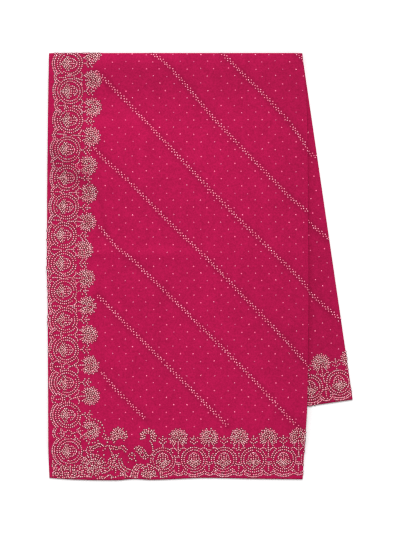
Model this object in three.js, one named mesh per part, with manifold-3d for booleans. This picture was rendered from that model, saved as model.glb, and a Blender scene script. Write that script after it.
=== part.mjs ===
// A saree, doubled lengthwise, folded crosswise into six stretches and laid flat on a surface.
// Millimetres. +Z up, +Y towards the top fold, +X towards the lengthwise fold.
// The origin is under the middle of the whole, on the surface it lies on.
import * as THREE from 'three';
import { mergeVertices } from 'three/addons/utils/BufferGeometryUtils.js';
import Module from 'manifold-3d';

const wasm = await Module();
wasm.setup();

// Driving dimensions.
const LEAF = 1.2; // one leaf of cloth, with its stones
const LEAF_GAP = 0.4; // air between the two leaves of a stretch
const SEAM = 0.3; // clearance between neighbouring pieces
const DOUBLED = 2 * LEAF + LEAF_GAP; // one stretch, both leaves
const FOLD_RADIUS = DOUBLED / 2; // outside of the lengthwise fold
const HIDDEN_STRETCHES = 4;
const HIDDEN_STRETCH = 2; // pressed thickness of each
const HIDDEN = HIDDEN_STRETCHES * HIDDEN_STRETCH;
const TOP_FOLD_Y = 480.7; // outermost line of the crosswise fold
const NOSE_RADIUS = 1; // inside of that fold, under the lower leaf
const NOSE_DROP = 2; // how far it hangs past the quarter turn
const NOSE_STEPS = 3;
const ARC_STEPS = 4;
const BACK_LENGTH = 787.7; // along the lengthwise fold
const BACK_WIDTH = 566;
const BACK_TURN = THREE.MathUtils.degToRad(8.31);
const BACK_CORNER = { x: 230.4, y: 480.5 }; // the corner the back stretch is turned about

// The front stretch, seen from above: its left and right edges at heights y.
const FRONT_EDGES = [
  { y: 480.7, left: -339.1, right: 230.4 },
  { y: 382, left: -340.9, right: 238.7 },
  { y: 300, left: -342.0, right: 241.9 },
  { y: 218, left: -342.9, right: 242.8 },
  { y: 84, left: -343.8, right: 243.7 },
  { y: -16, left: -344.2, right: 244.4 },
  { y: -63, left: -342.6, right: 244.6 },
  { y: -160, left: -342.0, right: 243.6 },
  { y: -313, left: -341.3, right: 241.4 },
  { y: -376, left: -341.1, right: 237.8 },
  { y: -421, left: -340.9, right: 234.5 },
  { y: -480.7, left: -339.1, right: 231.6 },
];

// Its end hem, which waves a little.
const FRONT_HEM = [
  { x: -344, y: -474.9 },
  { x: -283, y: -479.1 },
  { x: -189, y: -480.7 },
  { x: -148, y: -477.8 },
  { x: -108, y: -479.8 },
  { x: -40, y: -477.2 },
  { x: 14, y: -475.3 },
  { x: 122, y: -477.3 },
  { x: 232, y: -478.4 },
];

// The largest creases of the front stretch: a line, its depth (below zero for a ridge) and half width.
const CREASES = [
  { name: 'press ridge', x1: -236, y1: 27, x2: 225, y2: 27, depth: -0.9, half: 17 },
  { name: 'press trough', x1: -83, y1: -45, x2: -85, y2: -370, depth: 0.9, half: 12 },
  { name: 'border dip, top', x1: -230, y1: 200, x2: -209, y2: 150, depth: 1.3, half: 15 },
  { name: 'border dip, low', x1: -209, y1: 150, x2: -207, y2: 76, depth: 1.3, half: 15 },
  { name: 'slanting dip', x1: -187, y1: -75, x2: -119, y2: -158, depth: 1.3, half: 22 },
];

// The tuck: the selvedge turns under the top leaf, furthest at TUCK.y.
const TUCK = { y: 0, reach: 190, turn: 60, fullTurn: 180, flat: 0.5, fullFlat: 9.5 };

// How the front stretch falls past the pile's edges: by how much, over what width.
const SIDE_FALL = { left: 2.2, right: 4, run: 24 };
const HEM_RUN = 90; // from the pile's last full height down to the surface
const LIFT_RUN = 110; // how softly the pile steps down beside the back stretch

// Grid pitches and the insets where the form turns.
const PITCH = 62;
const LEFT_INSETS = [15, 30];
const RIGHT_INSETS = [9, 22];
const HEM_INSETS = [12, 26, 45, 68, 90];
const TOP_INSETS = [5, 16];
const CREASE_INSET = 14; // grid lines this far each side of the straight creases

// The pile's edge: each stretch is a lobe, and `out` is how far a point stands past the top face's edge.
const RIM = [
  { down: 0.12, out: 1.0 },
  { down: 0.25, out: 0.1 },
  { down: 0.38, out: 2.2 },
  { down: 0.5, out: 0.8 },
  { down: 0.63, out: 3.0 },
  { down: 0.75, out: 1.2 },
  { down: 0.88, out: 3.4 },
];

const FUCHSIA = new THREE.Color(0xb31b4d);
const FUCHSIA_DEEP = new THREE.Color(0xa81a47);
const ROUGHNESS = 0.82;

const lerp = THREE.MathUtils.lerp;
const smoothstep = (value) => THREE.MathUtils.smoothstep(value, 0, 1);

// A smooth value through a table's rows, which run one way along the column `key`.
function through(rows, key, at, column) {
  const rising = rows[rows.length - 1][key] > rows[0][key] ? 1 : -1;
  let k = 0;
  while (k < rows.length - 2 && rising * (at - rows[k + 1][key]) > 0) k += 1;
  const row = (n) => rows[THREE.MathUtils.clamp(n, 0, rows.length - 1)];
  const share = THREE.MathUtils.clamp((at - row(k)[key]) / (row(k + 1)[key] - row(k)[key]), 0, 1);
  const slope = (n) => (row(n + 1)[column] - row(n - 1)[column]) / (row(n + 1)[key] - row(n - 1)[key]);
  const span = row(k + 1)[key] - row(k)[key];
  const square = share * share;
  const cube = square * share;
  return (
    (2 * cube - 3 * square + 1) * row(k)[column] +
    (cube - 2 * square + share) * span * slope(k) +
    (3 * square - 2 * cube) * row(k + 1)[column] +
    (cube - square) * span * slope(k + 1)
  );
}

const frontLeft = (y) => through(FRONT_EDGES, 'y', y, 'left');
const frontRight = (y) => through(FRONT_EDGES, 'y', y, 'right');
const frontHem = (x) => through(FRONT_HEM, 'x', x, 'y');

// Places along a span: even ones, giving way to the turns that lie near them.
function gridLines(start, end, turns) {
  const count = Math.ceil(Math.abs(end - start) / PITCH);
  const lines = [start, ...turns, end];
  for (let k = 1; k < count; k += 1) {
    const line = lerp(start, end, k / count);
    if (lines.every((other) => Math.abs(other - line) > PITCH * 0.36)) lines.push(line);
  }
  const way = Math.sign(end - start);
  return lines.sort((a, b) => way * (a - b));
}

// A closed body between two grids of points. Its edge passes from one grid to the other
// by the rim's points, which stand out from the grids' outline.
function closedBody(upper, lower, rim = []) {
  const positions = [];
  const indices = [];
  const add = (point) => positions.push(point.x, point.y, point.z) / 3 - 1;
  const upperIds = upper.map((column) => column.map(add));
  const lowerIds = lower.map((column) => column.map(add));
  const lastColumn = upper.length - 1;
  const lastRow = upper[0].length - 1;
  for (let i = 0; i < lastColumn; i += 1) {
    for (let j = 0; j < lastRow; j += 1) {
      const corners = (ids) => [ids[i][j], ids[i + 1][j], ids[i + 1][j + 1], ids[i][j + 1]];
      const [a, b, c, d] = corners(upperIds);
      indices.push(a, d, c, a, c, b);
      const [e, f, g, h] = corners(lowerIds);
      indices.push(e, f, g, e, g, h);
    }
  }
  const loop = [];
  for (let j = 0; j < lastRow; j += 1) loop.push([0, j]);
  for (let i = 0; i < lastColumn; i += 1) loop.push([i, lastRow]);
  for (let j = lastRow; j > 0; j -= 1) loop.push([lastColumn, j]);
  for (let i = lastColumn; i > 0; i -= 1) loop.push([i, 0]);
  const inner = (n, last) => THREE.MathUtils.clamp(n, 1, last - 1);
  const rings = [loop.map(([i, j]) => upperIds[i][j])];
  for (const { down, out } of rim) {
    rings.push(loop.map(([i, j]) => {
      const point = upper[i][j].clone().lerp(lower[i][j], down);
      const outward = upper[i][j].clone().sub(upper[inner(i, lastColumn)][inner(j, lastRow)]);
      return add(point.addScaledVector(outward.setZ(0).normalize(), out));
    }));
  }
  rings.push(loop.map(([i, j]) => lowerIds[i][j]));
  for (let r = 0; r < rings.length - 1; r += 1) {
    for (let k = 0; k < loop.length; k += 1) {
      const next = (k + 1) % loop.length;
      indices.push(rings[r][next], rings[r][k], rings[r + 1][k]);
      indices.push(rings[r][next], rings[r + 1][k], rings[r + 1][next]);
    }
  }
  const geometry = new THREE.BufferGeometry();
  geometry.setAttribute('position', new THREE.Float32BufferAttribute(positions, 3));
  geometry.setIndex(volume(positions, indices) < 0 ? indices.reverse() : indices);
  geometry.computeVertexNormals();
  return geometry;
}

function volume(positions, indices) {
  const point = (id) => new THREE.Vector3().fromArray(positions, 3 * id);
  let total = 0;
  for (let k = 0; k < indices.length; k += 3) {
    total += point(indices[k]).dot(point(indices[k + 1]).cross(point(indices[k + 2])));
  }
  return total / 6;
}

// Cuts one closed geometry out of another.
function cutOut(body, tool) {
  const solid = (geometry) => {
    const bare = geometry.clone();
    bare.deleteAttribute('normal');
    bare.deleteAttribute('uv');
    const merged = mergeVertices(bare, 1e-4);
    return new wasm.Manifold(new wasm.Mesh({
      numProp: 3,
      vertProperties: new Float32Array(merged.attributes.position.array),
      triVerts: new Uint32Array(merged.index.array),
    }));
  };
  const mesh = solid(body).subtract(solid(tool)).getMesh();
  const geometry = new THREE.BufferGeometry();
  geometry.setAttribute('position', new THREE.Float32BufferAttribute(mesh.vertProperties, 3));
  geometry.setIndex(Array.from(mesh.triVerts));
  geometry.computeVertexNormals();
  return geometry;
}

// The back stretch's own axes: `across` from its fold towards its selvedge, `along` down its length.
function backPoint(across, along) {
  return {
    x: BACK_CORNER.x - across * Math.cos(BACK_TURN) + along * Math.sin(BACK_TURN),
    y: BACK_CORNER.y - across * Math.sin(BACK_TURN) - along * Math.cos(BACK_TURN),
  };
}

// Its top fold halves the angle between it and the front stretch.
const backTop = (across) => -across * Math.tan(BACK_TURN / 2);

// How far a point lies outside the back stretch, seen from above. Below zero inside.
function outsideBack(x, y) {
  const dx = x - BACK_CORNER.x;
  const dy = y - BACK_CORNER.y;
  const across = -dx * Math.cos(BACK_TURN) - dy * Math.sin(BACK_TURN);
  const along = dx * Math.sin(BACK_TURN) - dy * Math.cos(BACK_TURN);
  return Math.max(across - BACK_WIDTH, along - BACK_LENGTH, backTop(across) - along);
}

function creaseDepth(x, y) {
  let depth = 0;
  const point = new THREE.Vector3(x, y, 0);
  for (const { x1, y1, x2, y2, depth: deepest, half } of CREASES) {
    const line = new THREE.Line3(new THREE.Vector3(x1, y1, 0), new THREE.Vector3(x2, y2, 0));
    const distance = line.closestPointToPoint(point, true, new THREE.Vector3()).distanceTo(point);
    depth += deepest * Math.exp(-((distance / half) ** 2));
  }
  return depth;
}

// Height of the front stretch's lower face over the surface.
function frontLow(x, y) {
  const step = smoothstep(1 - outsideBack(x, y) / LIFT_RUN);
  const pile = HIDDEN + SEAM + (DOUBLED + SEAM) * step;
  const fall = (depth, inset) => depth * Math.max(0, 1 - inset / SIDE_FALL.run) ** 2;
  const sides = fall(SIDE_FALL.left, x - frontLeft(y)) + fall(SIDE_FALL.right, frontRight(y) - x);
  const hemShare = smoothstep((y - frontHem(x)) / HEM_RUN);
  return Math.max(0, (pile - sides - creaseDepth(x, y)) * hemShare);
}

// How far the selvedge is tucked under at height y, from 0 to 1.
function tuckShare(y) {
  const offset = Math.abs(y - TUCK.y) / TUCK.reach;
  return offset < 1 ? Math.cos((offset * Math.PI) / 2) ** 2 : 0;
}
const tuckFlat = (y) => lerp(TUCK.flat, TUCK.fullFlat, tuckShare(y));
const tuckTurn = (y) => THREE.MathUtils.degToRad(lerp(TUCK.turn, TUCK.fullTurn, tuckShare(y)));

// Rows and columns shared by the front stretch and the pile under it.
const NOSE_Y = TOP_FOLD_Y - NOSE_RADIUS - DOUBLED;
const LOWEST_Y = FRONT_EDGES[FRONT_EDGES.length - 1].y;
const MIDDLE = FRONT_EDGES.find((edge) => edge.y === -16);
const crease = (name) => CREASES.find((row) => row.name === name);
const acrossCrease = (middle) => [middle - CREASE_INSET, middle, middle + CREASE_INSET];
const COLUMNS = gridLines(MIDDLE.left + FOLD_RADIUS, MIDDLE.right - FOLD_RADIUS, [
  ...LEFT_INSETS.map((inset) => MIDDLE.left + inset),
  ...acrossCrease(crease('border dip, low').x1),
  ...acrossCrease(crease('press trough').x1),
  ...RIGHT_INSETS.map((inset) => MIDDLE.right - inset),
]);
const ROWS = gridLines(NOSE_Y, LOWEST_Y, [
  ...TOP_INSETS.map((inset) => NOSE_Y - inset),
  ...acrossCrease(crease('press ridge').y1),
  ...HEM_INSETS.map((inset) => LOWEST_Y + inset),
]);

// The plan place of a column and row: columns spread to follow the edges, rows to follow the hem.
function frontPlace(column, rowY) {
  const share = (column - MIDDLE.left) / (MIDDLE.right - MIDDLE.left);
  const x = lerp(frontLeft(rowY), frontRight(rowY), share);
  const y = NOSE_Y + ((rowY - NOSE_Y) * (frontHem(x) - NOSE_Y)) / (LOWEST_Y - NOSE_Y);
  return { x, y };
}

// The two leaves of a stretch as one wall: up the tuck or edge, over the top leaf, round the fold
// and back along the lower leaf. Each station gives a plan place and its height over the lower face.
function frontStations(rowY) {
  const place = (column) => frontPlace(column, rowY);
  const edge = place(COLUMNS[0]);
  const turn = tuckTurn(rowY);
  const stations = [];
  const tuckPoint = (angle, radius, flat) => ({
    x: edge.x - radius * Math.sin(angle) + flat * -Math.cos(angle),
    y: edge.y,
    rise: FOLD_RADIUS + radius * Math.cos(angle) - flat * Math.sin(angle),
    base: edge,
  });
  const tuckPair = (angle, flat) => ({
    outer: tuckPoint(angle, FOLD_RADIUS, flat),
    inner: tuckPoint(angle, FOLD_RADIUS - LEAF, flat),
  });
  stations.push(tuckPair(turn, tuckFlat(rowY)));
  for (let k = ARC_STEPS; k > 0; k -= 1) stations.push(tuckPair((turn * k) / ARC_STEPS, 0));
  const flatPair = (base, outer, inner) => ({
    outer: { ...base, rise: outer, base },
    inner: { ...base, rise: inner, base },
  });
  for (const column of COLUMNS) stations.push(flatPair(place(column), DOUBLED, DOUBLED - LEAF));
  const fold = place(COLUMNS[COLUMNS.length - 1]);
  for (let k = 1; k < ARC_STEPS; k += 1) {
    const angle = (Math.PI * k) / ARC_STEPS;
    const foldPoint = (radius) => ({
      x: fold.x + radius * Math.sin(angle),
      y: fold.y,
      rise: FOLD_RADIUS + radius * Math.cos(angle),
      base: fold,
    });
    stations.push({ outer: foldPoint(FOLD_RADIUS), inner: foldPoint(FOLD_RADIUS - LEAF) });
  }
  const lowerColumns = COLUMNS.slice(1).reverse();
  for (const column of lowerColumns) stations.push(flatPair(place(column), 0, LEAF));
  const lowerEdge = { x: edge.x + tuckFlat(rowY) + SEAM + LEAF, y: edge.y };
  stations.push(flatPair(lowerEdge, 0, LEAF));
  return stations;
}

// Rows past the top turn down over the pile's edge: a quarter turn, then a short drop.
function frontRowPoint({ x, y, rise, base }, row) {
  const low = frontLow(base.x, base.y);
  const radius = NOSE_RADIUS + rise;
  return new THREE.Vector3(
    x,
    y + radius * Math.sin(row.turn),
    low - NOSE_RADIUS + radius * Math.cos(row.turn) - row.drop,
  );
}

function frontStretch() {
  const rows = [{ y: ROWS[0], turn: Math.PI / 2, drop: NOSE_DROP }];
  for (let k = NOSE_STEPS; k > 0; k -= 1) {
    rows.push({ y: ROWS[0], turn: (Math.PI / 2) * (k / NOSE_STEPS), drop: 0 });
  }
  for (const y of ROWS) rows.push({ y, turn: 0, drop: 0 });
  const byRow = rows.map((row) => frontStations(row.y));
  const grid = (side) => byRow[0].map((_, p) => rows.map((row, r) => frontRowPoint(byRow[r][p][side], row)));
  return closedBody(grid('outer'), grid('inner'));
}

// The pile of hidden stretches: its top face lies just under the front stretch's lower leaf,
// its foot on the surface, and the back stretch lies in a recess of its underside.
function hiddenLayers() {
  const columns = COLUMNS.slice(1, -1).reverse();
  const rows = ROWS.slice(1, -2);
  const top = columns.map((column) => rows.map((rowY) => {
    const { x, y } = frontPlace(column, rowY);
    return new THREE.Vector3(x, y, frontLow(x, y) - SEAM);
  }));
  const foot = top.map((line) => line.map((point) => point.clone().setZ(0)));
  return cutOut(closedBody(top, foot, RIM), backRecess());
}

function backRecess() {
  const outline = new THREE.Shape();
  const clear = 2 * SEAM;
  const corners = [
    backPoint(-clear, backTop(-clear) - clear),
    backPoint(-clear, BACK_LENGTH + clear),
    backPoint(BACK_WIDTH + clear, BACK_LENGTH + clear),
    backPoint(BACK_WIDTH + clear, backTop(BACK_WIDTH + clear) - clear),
  ];
  outline.setFromPoints(corners.map(({ x, y }) => new THREE.Vector2(x, y)));
  const depth = DOUBLED + SEAM;
  const geometry = new THREE.ExtrudeGeometry(outline, { depth: depth + 1, bevelEnabled: false });
  return geometry.translate(0, 0, -1);
}

function backStretch() {
  const columns = gridLines(FOLD_RADIUS, BACK_WIDTH, []);
  const count = Math.ceil(BACK_LENGTH / PITCH);
  const shares = Array.from({ length: count + 1 }, (_, k) => k / count);
  const at = (across, share, z) => {
    const along = lerp(backTop(across), BACK_LENGTH, share);
    const { x, y } = backPoint(across, along);
    return new THREE.Vector3(x, y, z);
  };
  const stations = [];
  for (const across of columns.slice().reverse()) {
    stations.push({ outer: [across, DOUBLED], inner: [across, DOUBLED - LEAF] });
  }
  for (let k = 1; k < ARC_STEPS; k += 1) {
    const angle = (Math.PI * k) / ARC_STEPS;
    const foldPoint = (radius) => [
      FOLD_RADIUS - radius * Math.sin(angle),
      FOLD_RADIUS + radius * Math.cos(angle),
    ];
    stations.push({ outer: foldPoint(FOLD_RADIUS), inner: foldPoint(FOLD_RADIUS - LEAF) });
  }
  for (const across of columns) stations.push({ outer: [across, 0], inner: [across, LEAF] });
  const grid = (side) => stations.map((station) => shares.map((share) => {
    const [across, z] = station[side];
    return at(across, share, z);
  }));
  return closedBody(grid('outer'), grid('inner'));
}

function cloth(name, geometry, color) {
  const material = new THREE.MeshStandardMaterial({ color, roughness: ROUGHNESS, metalness: 0 });
  const mesh = new THREE.Mesh(geometry, material);
  mesh.name = name;
  return mesh;
}

const saree = new THREE.Group();
saree.add(cloth('front_stretch', frontStretch(), FUCHSIA));
saree.add(cloth('hidden_layers', hiddenLayers(), FUCHSIA_DEEP));
saree.add(cloth('back_stretch', backStretch(), FUCHSIA));

export default saree;
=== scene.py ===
"""A stone-worked saree, doubled lengthwise, folded crosswise and laid flat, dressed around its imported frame.

Lengths are in millimetres until a mesh is made. +X is towards the lengthwise fold, +Y towards the top
fold and +Z up off the surface, as in the frame.
"""
import math

import bpy
import numpy as np
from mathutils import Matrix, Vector


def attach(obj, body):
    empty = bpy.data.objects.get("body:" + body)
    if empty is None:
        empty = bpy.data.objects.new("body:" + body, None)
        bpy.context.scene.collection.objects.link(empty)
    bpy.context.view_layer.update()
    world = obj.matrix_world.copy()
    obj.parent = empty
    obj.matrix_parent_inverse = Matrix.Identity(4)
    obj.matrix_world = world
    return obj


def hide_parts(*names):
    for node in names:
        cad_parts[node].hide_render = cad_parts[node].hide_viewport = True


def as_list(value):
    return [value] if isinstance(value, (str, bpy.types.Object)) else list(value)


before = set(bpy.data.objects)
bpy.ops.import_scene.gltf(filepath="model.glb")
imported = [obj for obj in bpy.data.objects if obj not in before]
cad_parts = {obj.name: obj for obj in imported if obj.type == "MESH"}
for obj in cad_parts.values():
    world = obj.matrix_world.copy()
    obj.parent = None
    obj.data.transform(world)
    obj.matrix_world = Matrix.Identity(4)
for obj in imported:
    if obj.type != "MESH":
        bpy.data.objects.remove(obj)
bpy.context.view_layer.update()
MM = 0.001


def named(columns, *rows):
    """A table with named columns, from rows of values. A row may leave out its last ones."""
    return [dict(zip(columns.split(), row)) for row in rows]


# ---- sizes, as in the solids
DOUBLED = 2.8  # one stretch, both leaves
LEAF_GAP_SEAM = 0.3  # clearance between neighbouring pieces
FOLD_RADIUS = DOUBLED / 2
HIDDEN_STRETCHES = 4
HIDDEN = 8.0
TOP_FOLD_Y = 480.7
NOSE_RADIUS = 1.0
NOSE_DROP = 2.0
NOSE_Y = TOP_FOLD_Y - NOSE_RADIUS - DOUBLED
NOSE_ARC = (NOSE_RADIUS + DOUBLED) * np.pi / 2
MIDDLE_LEFT, MIDDLE_RIGHT, LOWEST_Y = -344.2, 244.4, -480.7
FLAT_LEFT, FLAT_RIGHT = MIDDLE_LEFT + FOLD_RADIUS, MIDDLE_RIGHT - FOLD_RADIUS
BACK_LENGTH = 787.7
BACK_WIDTH = 566.0
BACK_TURN = math.radians(8.31)
BACK_COS, BACK_SIN = math.cos(BACK_TURN), math.sin(BACK_TURN)
BACK_CORNER = (230.4, 480.5)

FRONT_EDGES = named(
    "y left right",
    (480.7, -339.1, 230.4),
    (382, -340.9, 238.7),
    (300, -342, 241.9),
    (218, -342.9, 242.8),
    (84, -343.8, 243.7),
    (-16, -344.2, 244.4),
    (-63, -342.6, 244.6),
    (-160, -342, 243.6),
    (-313, -341.3, 241.4),
    (-376, -341.1, 237.8),
    (-421, -340.9, 234.5),
    (-480.7, -339.1, 231.6),
)
FRONT_HEM = named(
    "x y",
    (-344, -474.9),
    (-283, -479.1),
    (-189, -480.7),
    (-148, -477.8),
    (-108, -479.8),
    (-40, -477.2),
    (14, -475.3),
    (122, -477.3),
    (232, -478.4),
)
CREASES = named(  # a line, its depth (below zero for a ridge) and its half width
    "line depth half",
    ((-236, 27, 225, 27), -0.9, 17),  # press ridge
    ((-83, -45, -85, -370), 0.9, 12),  # press trough
    ((-230, 200, -209, 150), 1.3, 15),  # border dip, top
    ((-209, 150, -207, 76), 1.3, 15),  # border dip, low
    ((-187, -75, -119, -158), 1.3, 22),  # slanting dip
)
TUCK = {"y": 0.0, "reach": 190.0, "turn": 60.0, "full_turn": 180.0, "flat": 0.5, "full_flat": 9.5}
SIDE_FALL = {"left": 2.2, "right": 4.0, "run": 24.0}
HEM_RUN = 90.0
LIFT_RUN = 110.0
PILE_LEFT, PILE_RIGHT, PILE_TOP, PILE_HEM = 15.0, 9.0, 5.0, 26.0  # the pile's insets

# ---- sizes of the finer form
LEAF = 0.5  # thickness of the thin cloth shells
FINE_PITCH = 4.5  # grid of the leaves that show
COARSE_PITCH = 24.0  # grid across the leaves that lie hidden
PILE_PITCH = 10.0
ARC_STEPS = 8
HALF_TURN = np.linspace(0, np.pi, ARC_STEPS + 1)[1:-1]  # the angles between a fold's two leaves
STONE_PITCH = 4.6
STONE_APART = 2.8  # stones nearer than this would overlap
STONE_TURN = 0.6  # how far round a fold's edge stones are glued, in radians
HEM_MARGIN = 1.5  # stones stay this far from a cut edge
OVERLAP = 5.0  # how far in under the front stretch the back one has stones
NOSE_PITCH = 0.8  # grid round the top fold
LOWER_INSET = 1.5  # of the lower leaf from the tucked selvedge
BACK_SHOWS = 130.0  # how far from its fold the back stretch may show
TOP_ROLL = {"fall": 1.1, "run": 20.0}  # how the top leaf rounds down to the top fold
FRONT_SWELL = {"height": 0.55, "fade": 40.0}  # slow swells of the leaves that show
BACK_SWELL = {"height": 0.35, "fade": 25.0}
PILE_FOOT = {"least": 1.2, "reach": 1.6, "run": 25.0}  # the pile's thinnest edge, and how it steps off
PILE_RIM = {"reach": 1.6, "growth": 0.55, "folds": 0.6, "leaves": 0.5, "belly": 0.6}
FOLD_BULGE = (0, 0.8, 1.0, 0.8)  # one stretch's edge at a fold, from one hollow to the next
LEAVES_BULGE = (0, 1.0, 0.25, 0.9)  # the same where its two leaves lie open

# Finer creases of the leaves that show: a line, depth, half width. Below zero for a ridge.
FRONT_CREASES = named(
    "line depth half",
    ((-222, 456, -75, 458), -1.3, 20),  # under the top fold
    ((-240, 378, -118, 384), 1.3, 21),  # upper press
    ((-236, 318, -140, 326), -1.2, 16),  # high ridge
    ((-333, 246, -272, 226), 1.4, 15),  # across the border
    ((-272, 226, -226, 186), 1.6, 12),  # border dip, high
    ((-226, 186, -208, 130), 1.2, 6),  # border dip, sharp
    ((-208, 130, -205, 74), 0.9, 6),  # border dip, low end
    ((-244, 30, -60, 30), -1.2, 10),  # press ridge, left
    ((-60, 30, 120, 26), -0.4, 10),  # press ridge, right
    ((-164, -6, -48, -3), 0.8, 7),  # short press
    ((-215, 44, -202, 54), 0.9, 6),  # by the border
    ((-84, -60, -86, -210), 0.8, 8),  # middle press
    ((-92, 190, -88, 120), 0.6, 9),  # faint press
    ((-190, -72, -125, -152), 0.5, 10),  # slanting dip
    ((120, -44, 196, -82), 1.3, 30),  # right hollow
    ((130, 330, 215, 300), 1.1, 28),  # upper right hollow
    ((-60, -300, 60, -318), -0.8, 24),  # low ridge
)
# Painted light and shade: soft patches where the cloth's colour is painted paler, or darker below zero, where
# light falls on its folds and creases or they lie in shade: a line, the change and its half width.
FRONT_PAINTED_LIGHT_AND_SHADE = named(
    "line change half",
    ((-230, 474, -60, 474), 0.07, 12),  # top fold
    ((-250, 422, 190, 418), -0.08, 42),  # under the top fold
    ((-236, 318, -140, 318), 0.085, 31),  # painted light
    ((-120, 290, 30, 250), 0.05, 75),  # upper middle
    ((-332, 246, -278, 206), -0.16, 21),  # across the border
    ((-262, 200, -232, 166), -0.14, 15),  # past the border
    ((-222, 150, -210, 74), -0.11, 7),  # dip by the border
    ((-204, 204, -160, 184), 0.04, 18),  # beyond the dip
    ((-236, 42, -196, 46), 0.05, 12),  # press line, left
    ((-150, 40, -20, 38), 0.045, 13),  # press line
    ((-180, -6, 60, -10), -0.02, 16),  # under the press
    ((226, 470, 222, -350), -0.07, 60),  # right edge
    ((110, -70, 190, -190), -0.05, 60),  # low right
    ((-86, -60, -92, -240), -0.04, 14),  # middle press
    ((-318, 420, -300, 120), -0.06, 42),  # top of the border
)
BESIDE_BAND = {"change": -0.23, "half": 8.0}  # the cloth is darker along a band of stones
BACK_PAINTED_SHADE = named("line change half", ((250, 60, 275, -330), -0.06, 70))  # painted shade beside the front stretch, which it casts
BACK_CREASES = named(  # in the back stretch's axes
    "line depth half",
    ((0, 300, 50, 330), 0.7, 12),
    ((0, 455, 80, 470), -0.6, 14),
    ((0, 600, 90, 575), 0.7, 13),
)


# ---- the cloth's form
def through(rows, key, column, at):
    """The smooth value of a table's column at places along its key column."""
    table = sorted(rows, key=lambda row: row[key])
    keys = np.array([row[key] for row in table], float)
    values = np.array([row[column] for row in table], float)
    last = len(table) - 1
    after, before = np.minimum(np.arange(last + 1) + 1, last), np.maximum(np.arange(last + 1) - 1, 0)
    slopes = (values[after] - values[before]) / (keys[after] - keys[before])
    at = np.asarray(at, float)
    k = np.clip(np.searchsorted(keys, at) - 1, 0, last - 1)
    span = keys[k + 1] - keys[k]
    share = np.clip((at - keys[k]) / span, 0, 1)
    square, cube = share**2, share**3
    return (
        (2 * cube - 3 * square + 1) * values[k]
        + (cube - 2 * square + share) * span * slopes[k]
        + (3 * square - 2 * cube) * values[k + 1]
        + (cube - square) * span * slopes[k + 1]
    )


def front_left(y):
    return through(FRONT_EDGES, "y", "left", y)


def front_right(y):
    return through(FRONT_EDGES, "y", "right", y)


def front_hem(x):
    return through(FRONT_HEM, "x", "y", x)


def smoothstep(value):
    share = np.clip(value, 0, 1)
    return share * share * (3 - 2 * share)


def unit(vectors):
    return vectors / np.linalg.norm(vectors, axis=1)[:, None]


def distance_to(start, end, x, y):
    """How far places lie from a line between two points."""
    dx, dy = end[0] - start[0], end[1] - start[1]
    share = np.clip(((x - start[0]) * dx + (y - start[1]) * dy) / (dx * dx + dy * dy), 0, 1)
    return np.hypot(x - start[0] - share * dx, y - start[1] - share * dy)


def strokes(table, key, x, y):
    """The sum of soft strokes, each strongest along its own line."""
    total = np.zeros(np.broadcast(x, y).shape)
    for stroke in table:
        distance = distance_to(stroke["line"][:2], stroke["line"][2:], x, y)
        total += stroke[key] * np.exp(-((distance / stroke["half"]) ** 2))
    return total


def back_axes(x, y):
    """A plan place in the back stretch's own axes: across from its fold, along its length."""
    dx, dy = x - BACK_CORNER[0], y - BACK_CORNER[1]
    return -dx * BACK_COS - dy * BACK_SIN, dx * BACK_SIN - dy * BACK_COS


def back_place(across, along):
    x = BACK_CORNER[0] - across * BACK_COS + along * BACK_SIN
    return x, BACK_CORNER[1] - across * BACK_SIN - along * BACK_COS


def back_top(across):
    """The back stretch's top fold halves the angle between it and the front stretch."""
    return -across * math.tan(BACK_TURN / 2)


def outside_back(x, y):
    across, along = back_axes(x, y)
    return np.maximum(np.maximum(across - BACK_WIDTH, along - BACK_LENGTH), back_top(across) - along)


def front_low(x, y):
    """Height of the front stretch's lower face."""
    step = smoothstep(1 - outside_back(x, y) / LIFT_RUN)
    pile = HIDDEN + LEAF_GAP_SEAM + (DOUBLED + LEAF_GAP_SEAM) * step
    left_inset, right_inset = x - front_left(y), front_right(y) - x
    sides = SIDE_FALL["left"] * np.maximum(0, 1 - left_inset / SIDE_FALL["run"]) ** 2
    sides = sides + SIDE_FALL["right"] * np.maximum(0, 1 - right_inset / SIDE_FALL["run"]) ** 2
    hem_share = smoothstep((y - front_hem(x)) / HEM_RUN)
    return np.maximum(0, (pile - sides - strokes(CREASES, "depth", x, y)) * hem_share)


def tuck_share(y):
    offset = np.minimum(1, np.abs(y - TUCK["y"]) / TUCK["reach"])
    return np.cos(offset * np.pi / 2) ** 2


def tuck_flat(y):
    return TUCK["flat"] + (TUCK["full_flat"] - TUCK["flat"]) * tuck_share(y)


def tuck_turn(y):
    """How far the selvedge is turned under, in radians."""
    return np.radians(TUCK["turn"] + (TUCK["full_turn"] - TUCK["turn"]) * tuck_share(y))


def waves(x, y):
    """Slow, uneven swells of limp cloth, about one high either way. Each divisor sets how long one is."""
    swell = np.sin(x / 61 + 1.3 * np.sin(y / 97)) * np.sin(y / 73 + 0.8)
    swell = swell + 0.6 * np.sin((x + 0.7 * y) / 47 + 2.1) * np.sin((y - 0.4 * x) / 88)
    return (swell + 0.35 * np.sin((x - y) / 23 + np.sin(y / 31))) / 1.95


def edge_fade(x, y):
    """1 well inside the front stretch and 0 at its edges."""
    inset = np.minimum(x - front_left(y), front_right(y) - x)
    inset = np.minimum(inset, np.minimum(NOSE_Y - y, y - front_hem(x)))
    return smoothstep(inset / FRONT_SWELL["fade"])


def front_relief(x, y):
    """What the top leaf adds to the stretch's own form."""
    roll = TOP_ROLL["fall"] * np.maximum(0, 1 - (NOSE_Y - y) / TOP_ROLL["run"]) ** 2
    swell = FRONT_SWELL["height"] * waves(x, y) - strokes(FRONT_CREASES, "depth", x, y)
    return swell * edge_fade(x, y) - roll


def back_relief(across, along):
    inset = np.minimum(across, BACK_LENGTH - along)
    swell = BACK_SWELL["height"] * waves(along, across) - strokes(BACK_CREASES, "depth", across, along)
    return swell * smoothstep(inset / BACK_SWELL["fade"])


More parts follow.
